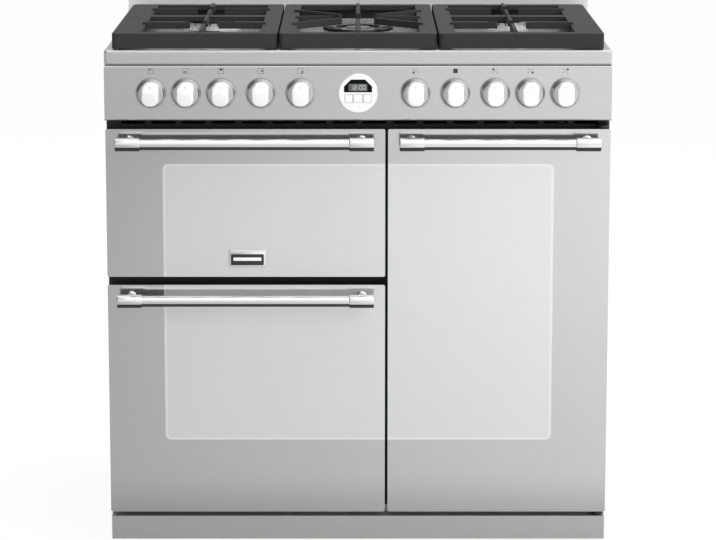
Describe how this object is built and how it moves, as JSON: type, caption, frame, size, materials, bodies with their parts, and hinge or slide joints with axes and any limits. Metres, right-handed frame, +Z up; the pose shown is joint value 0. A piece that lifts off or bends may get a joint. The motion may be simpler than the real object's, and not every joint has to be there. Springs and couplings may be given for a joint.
{
  "type": "range cooker",
  "caption": "Freestanding range cooker with a gas hob under cast pan supports, drop-down oven doors at the left and a tall side-hung oven at the right.",
  "frame": {"origin": "on the floor, below the middle of the cooker's bounding box", "axes": "+Z up; the front with the doors faces -Y; +X is to the right of someone facing the front"},
  "size_m": [0.9, 0.65, 0.935],
  "materials": {
    "hob_steel": "satin",
    "fascia_steel": "satin",
    "chrome": "polished",
    "mirror_glass": "polished",
    "clear_glass": "clear",
    "black_enamel": "gloss",
    "oven_enamel": "gloss",
    "cast_iron": "matt",
    "grey_paint": "satin",
    "galvanised": "satin",
    "silver_paint": "satin",
    "burner_aluminium": "satin",
    "seal_fibre": "matt",
    "foot_plastic": "matt",
    "display_black": "gloss",
    "brass": "satin",
    "switch_plastic": "matt",
    "steel": "satin",
    "element_steel": "matt",
    "aluminium_wheel": "satin",
    "knob_chrome": "chromed"
  },
  "bodies": {
    "cabinet": {"side_panels": "grey_paint", "base_tray": "galvanised", "plinth": "silver_paint", "adjustable_feet": "foot_plastic", "front_frame": "black_enamel", "back_panel": "galvanised", "door_seals": "seal_fibre", "oven_shelves": "chrome", "grill_pan": "oven_enamel", "heating_elements": "element_steel", "fan_baffles": "oven_enamel", "fan_motors": "galvanised", "hinge_brackets": "steel", "hob_top": "hob_steel", "burner_heads": "burner_aluminium", "burner_caps": "black_enamel", "fascia_panel": "fascia_steel", "oven_switches": "switch_plastic", "gas_rail": "brass", "terminal_box": "switch_plastic", "clock_bezel": "chrome", "clock_display": "display_black", "top_oven_cavity": "oven_enamel", "main_oven_cavity": "oven_enamel", "tall_oven_cavity": "oven_enamel"},
    "upper_door": {"upper_door_glass": "mirror_glass", "upper_door_panel": "oven_enamel", "upper_door_pane": "clear_glass", "upper_door_handle": "chrome"},
    "lower_door": {"lower_door_glass": "mirror_glass", "lower_door_panel": "oven_enamel", "lower_door_pane": "clear_glass", "lower_door_handle": "chrome"},
    "right_door": {"right_door_glass": "mirror_glass", "right_door_panel": "oven_enamel", "right_door_pane": "clear_glass", "right_door_handle": "chrome"},
    "fan_main_oven": {"fan_main_oven": "aluminium_wheel"},
    "fan_tall_oven": {"fan_tall_oven": "aluminium_wheel"},
    "knob_01": {"knob_01": "knob_chrome"},
    "knob_02": {"knob_02": "knob_chrome"},
    "knob_03": {"knob_03": "knob_chrome"},
    "knob_04": {"knob_04": "knob_chrome"},
    "knob_05": {"knob_05": "knob_chrome"},
    "knob_06": {"knob_06": "knob_chrome"},
    "knob_07": {"knob_07": "knob_chrome"},
    "knob_08": {"knob_08": "knob_chrome"},
    "knob_09": {"knob_09": "knob_chrome"},
    "knob_10": {"knob_10": "knob_chrome"},
    "pan_support_left": {"pan_support_left": "cast_iron"},
    "pan_support_centre": {"pan_support_centre": "cast_iron"},
    "pan_support_right": {"pan_support_right": "cast_iron"},
    "tap_spindle_06": {"tap_spindle_06": "brass"},
    "tap_spindle_07": {"tap_spindle_07": "brass"},
    "tap_spindle_08": {"tap_spindle_08": "brass"},
    "tap_spindle_09": {"tap_spindle_09": "brass"},
    "tap_spindle_10": {"tap_spindle_10": "brass"},
    "timer_button_left": {"timer_button_left": "knob_chrome"},
    "timer_button_middle": {"timer_button_middle": "knob_chrome"},
    "timer_button_right": {"timer_button_right": "knob_chrome"}
  },
  "joints": [
    {"name": "door_upper_drop", "type": "hinge", "parent": "cabinet", "child": "upper_door", "pos_m": [-0.20025, -0.263, 0.5], "axis": [1, 0, 0], "range_deg": [0, 90]},
    {"name": "door_lower_drop", "type": "hinge", "parent": "cabinet", "child": "lower_door", "pos_m": [-0.20025, -0.263, 0.065], "axis": [1, 0, 0], "range_deg": [0, 90]},
    {"name": "door_right_swing", "type": "hinge", "parent": "cabinet", "child": "right_door", "pos_m": [0.436, -0.263, 0.408], "axis": [0, 0, 1], "range_deg": [0, 100]},
    {"name": "fan_main_spin", "type": "hinge", "parent": "cabinet", "child": "fan_main_oven", "pos_m": [-0.20025, 0.15, 0.267], "axis": [0, 1, 0], "continuous": true},
    {"name": "fan_tall_spin", "type": "hinge", "parent": "cabinet", "child": "fan_tall_oven", "pos_m": [0.25125, 0.15, 0.408], "axis": [0, 1, 0], "continuous": true},
    {"name": "knob_01_turn", "type": "hinge", "parent": "cabinet", "child": "knob_01", "pos_m": [-0.367, -0.275, 0.8235], "axis": [0, 1, 0], "range_deg": [0, 270]},
    {"name": "knob_02_turn", "type": "hinge", "parent": "cabinet", "child": "knob_02", "pos_m": [-0.305, -0.275, 0.8235], "axis": [0, 1, 0], "range_deg": [0, 270]},
    {"name": "knob_03_turn", "type": "hinge", "parent": "cabinet", "child": "knob_03", "pos_m": [-0.243, -0.275, 0.8235], "axis": [0, 1, 0], "range_deg": [0, 270]},
    {"name": "knob_04_turn", "type": "hinge", "parent": "cabinet", "child": "knob_04", "pos_m": [-0.1725, -0.275, 0.8235], "axis": [0, 1, 0], "range_deg": [0, 270]},
    {"name": "knob_05_turn", "type": "hinge", "parent": "cabinet", "child": "knob_05", "pos_m": [-0.102, -0.275, 0.8235], "axis": [0, 1, 0], "range_deg": [0, 270]},
    {"name": "knob_06_turn", "type": "hinge", "parent": "tap_spindle_06", "child": "knob_06", "pos_m": [0.102, -0.275, 0.8235], "axis": [0, -1, 0], "range_deg": [0, 210]},
    {"name": "knob_07_turn", "type": "hinge", "parent": "tap_spindle_07", "child": "knob_07", "pos_m": [0.1725, -0.275, 0.8235], "axis": [0, -1, 0], "range_deg": [0, 210]},
    {"name": "knob_08_turn", "type": "hinge", "parent": "tap_spindle_08", "child": "knob_08", "pos_m": [0.243, -0.275, 0.8235], "axis": [0, -1, 0], "range_deg": [0, 210]},
    {"name": "knob_09_turn", "type": "hinge", "parent": "tap_spindle_09", "child": "knob_09", "pos_m": [0.305, -0.275, 0.8235], "axis": [0, -1, 0], "range_deg": [0, 210]},
    {"name": "knob_10_turn", "type": "hinge", "parent": "tap_spindle_10", "child": "knob_10", "pos_m": [0.367, -0.275, 0.8235], "axis": [0, -1, 0], "range_deg": [0, 210]},
    {"name": "pan_support_left_lift", "type": "slide", "parent": "cabinet", "child": "pan_support_left", "axis": [0, 0, 1], "range_m": [0, 0.05]},
    {"name": "pan_support_centre_lift", "type": "slide", "parent": "cabinet", "child": "pan_support_centre", "axis": [0, 0, 1], "range_m": [0, 0.05]},
    {"name": "pan_support_right_lift", "type": "slide", "parent": "cabinet", "child": "pan_support_right", "axis": [0, 0, 1], "range_m": [0, 0.05]},
    {"name": "push_tap_06", "type": "slide", "parent": "cabinet", "child": "tap_spindle_06", "axis": [0, 1, 0], "range_m": [0, 0.002], "stiffness_N_per_m": 1000, "springref_m": -0.002},
    {"name": "push_tap_07", "type": "slide", "parent": "cabinet", "child": "tap_spindle_07", "axis": [0, 1, 0], "range_m": [0, 0.002], "stiffness_N_per_m": 1000, "springref_m": -0.002},
    {"name": "push_tap_08", "type": "slide", "parent": "cabinet", "child": "tap_spindle_08", "axis": [0, 1, 0], "range_m": [0, 0.002], "stiffness_N_per_m": 1000, "springref_m": -0.002},
    {"name": "push_tap_09", "type": "slide", "parent": "cabinet", "child": "tap_spindle_09", "axis": [0, 1, 0], "range_m": [0, 0.002], "stiffness_N_per_m": 1000, "springref_m": -0.002},
    {"name": "push_tap_10", "type": "slide", "parent": "cabinet", "child": "tap_spindle_10", "axis": [0, 1, 0], "range_m": [0, 0.002], "stiffness_N_per_m": 1000, "springref_m": -0.002},
    {"name": "timer_left_press", "type": "slide", "parent": "cabinet", "child": "timer_button_left", "axis": [0, 1, 0], "range_m": [0, 0.001], "stiffness_N_per_m": 1000, "springref_m": -0.001},
    {"name": "timer_middle_press", "type": "slide", "parent": "cabinet", "child": "timer_button_middle", "axis": [0, 1, 0], "range_m": [0, 0.001], "stiffness_N_per_m": 1000, "springref_m": -0.001},
    {"name": "timer_right_press", "type": "slide", "parent": "cabinet", "child": "timer_button_right", "axis": [0, 1, 0], "range_m": [0, 0.001], "stiffness_N_per_m": 1000, "springref_m": -0.001}
  ]
}
